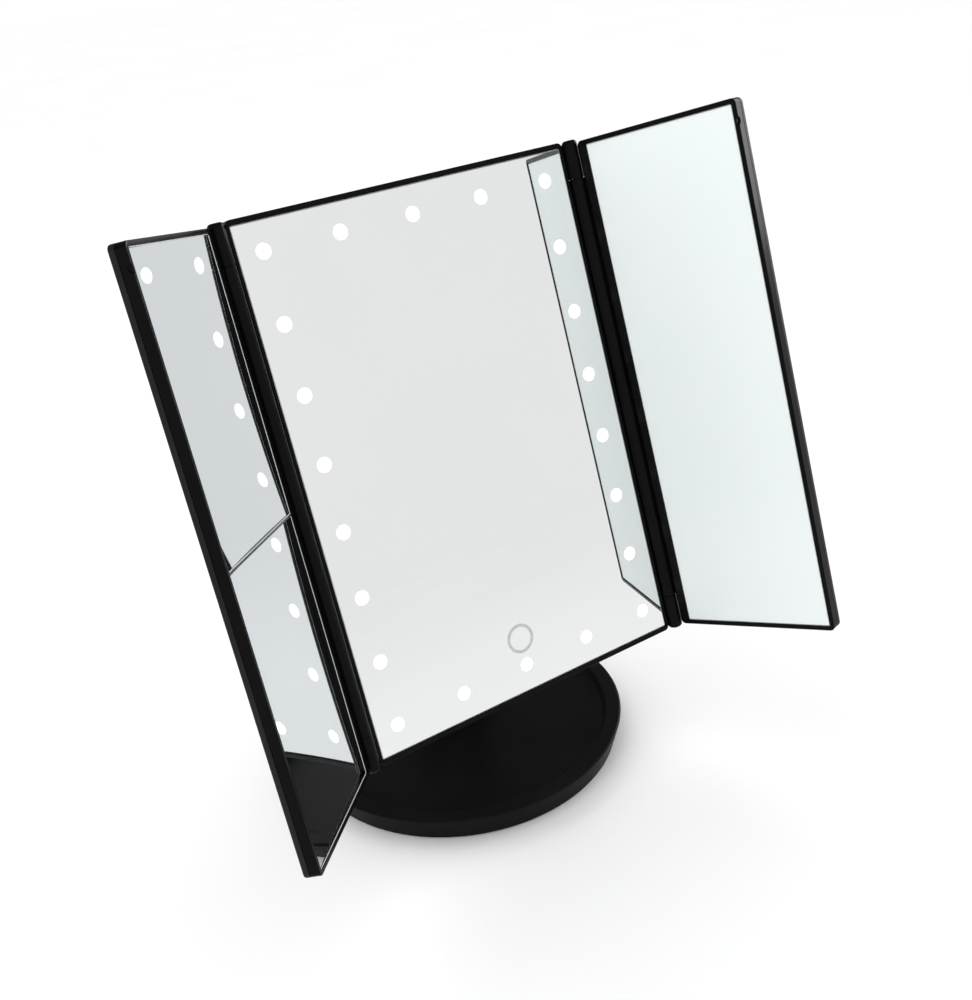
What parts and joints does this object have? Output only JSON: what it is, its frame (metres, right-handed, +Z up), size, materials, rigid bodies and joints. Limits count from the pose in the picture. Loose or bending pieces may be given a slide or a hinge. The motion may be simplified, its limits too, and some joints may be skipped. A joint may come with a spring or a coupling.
{
  "type": "lighted vanity mirror",
  "caption": "Tri-fold make-up mirror: lighted centre panel with a touch ring, plain right wing, two magnifying mirrors on the left wing, tilting neck and round tray base.",
  "frame": {"origin": "middle of the underside of the round base, on the table", "axes": "+Z up; -Y towards the user, the way the mirror faces; +X to the right as the user sees it"},
  "size_m": [0.2778, 0.2533, 0.3339],
  "materials": {
    "gloss_black": "moulded black ABS with a soft gloss and a very fine texture",
    "satin_black": "moulded black ABS with a fine spark-eroded texture",
    "silvered_glass": "silvered float glass, clean polished face",
    "silvered_acrylic": "silvered hollow magnifying mirror, clean polished face",
    "frosted_light": "frosted light guide, lit",
    "steel": "zinc plated steel",
    "nickel_contact": "nickel plated spring strip",
    "copper_pad": "bare copper foil",
    "rubber": "closed-cell foam rubber",
    "friction_nylon": "natural nylon",
    "circuit_board": "green solder mask",
    "battery_jacket": "plain printed jacket, no lettering"
  },
  "bodies": {
    "base": {"base_tray": "gloss_black", "base_bottom_plate": "satin_black", "base_ballast": "steel", "base_grip_pad": "rubber", "base_screw_1": "steel", "base_screw_2": "steel", "base_screw_3": "steel", "base_screw_4": "steel", "neck_front_shell": "gloss_black", "neck_rear_shell": "gloss_black", "neck_core_strip": "steel", "neck_pivot_block": "gloss_black", "neck_screw_1": "steel", "neck_screw_2": "steel"},
    "head": {"battery_cell_1": "battery_jacket", "battery_cell_2": "battery_jacket", "battery_cell_3": "battery_jacket", "battery_cell_4": "battery_jacket", "battery_contact_bottom": "nickel_contact", "battery_contact_top": "nickel_contact", "bracket_screw_1": "steel", "bracket_screw_2": "steel", "bracket_screw_3": "steel", "bracket_screw_4": "steel", "case_screw_1": "steel", "case_screw_2": "steel", "case_screw_3": "steel", "case_screw_4": "steel", "centre_mirror": "silvered_glass", "control_board": "circuit_board", "head_back_cover": "satin_black", "head_front_frame": "gloss_black", "hinge_pin_left_bottom": "steel", "hinge_pin_left_top": "steel", "hinge_pin_right_bottom": "steel", "hinge_pin_right_top": "steel", "light_board": "circuit_board", "light_diffuser": "frosted_light", "pivot_cap_left": "gloss_black", "pivot_cap_right": "gloss_black", "power_switch_body": "satin_black", "tilt_bracket": "gloss_black", "tilt_disc_spring": "steel", "tilt_friction_washer_left": "friction_nylon", "tilt_friction_washer_right": "friction_nylon", "tilt_nut": "steel", "tilt_shaft": "steel", "touch_sensor_pad": "copper_pad", "usb_socket": "steel"},
    "right_wing": {"right_wing_frame": "gloss_black", "right_wing_back_cover": "satin_black", "right_wing_mirror": "silvered_glass", "right_wing_foam_pad": "rubber"},
    "left_wing": {"left_wing_frame": "gloss_black", "left_wing_back_cover": "satin_black", "left_wing_upper_mirror": "silvered_acrylic", "left_wing_lower_mirror": "silvered_acrylic"},
    "battery_door": {"battery_door": "satin_black"},
    "power_switch": {"power_switch_knob": "gloss_black"}
  },
  "joints": [
    {"name": "head_tilt", "type": "hinge", "parent": "base", "child": "head", "pos_m": [0, -0.01065, 0.1703], "axis": [-1, 0, 0], "range_deg": [-20, 60]},
    {"name": "right_wing_fold", "type": "hinge", "parent": "head", "child": "right_wing", "pos_m": [0.09, -0.05097, 0.1932], "axis": [0, -0.2521, -0.9677], "range_deg": [-71, 109]},
    {"name": "left_wing_fold", "type": "hinge", "parent": "head", "child": "left_wing", "pos_m": [-0.09, -0.05097, 0.1932], "axis": [0, 0.2521, 0.9677], "range_deg": [-51.5, 128.5]},
    {"name": "battery_door_slide", "type": "slide", "parent": "head", "child": "battery_door", "axis": [0, -0.2521, -0.9677], "range_m": [0, 0.014]},
    {"name": "power_switch_slide", "type": "slide", "parent": "head", "child": "power_switch", "axis": [0, 0.2521, 0.9677], "range_m": [0, 0.003]}
  ]
}
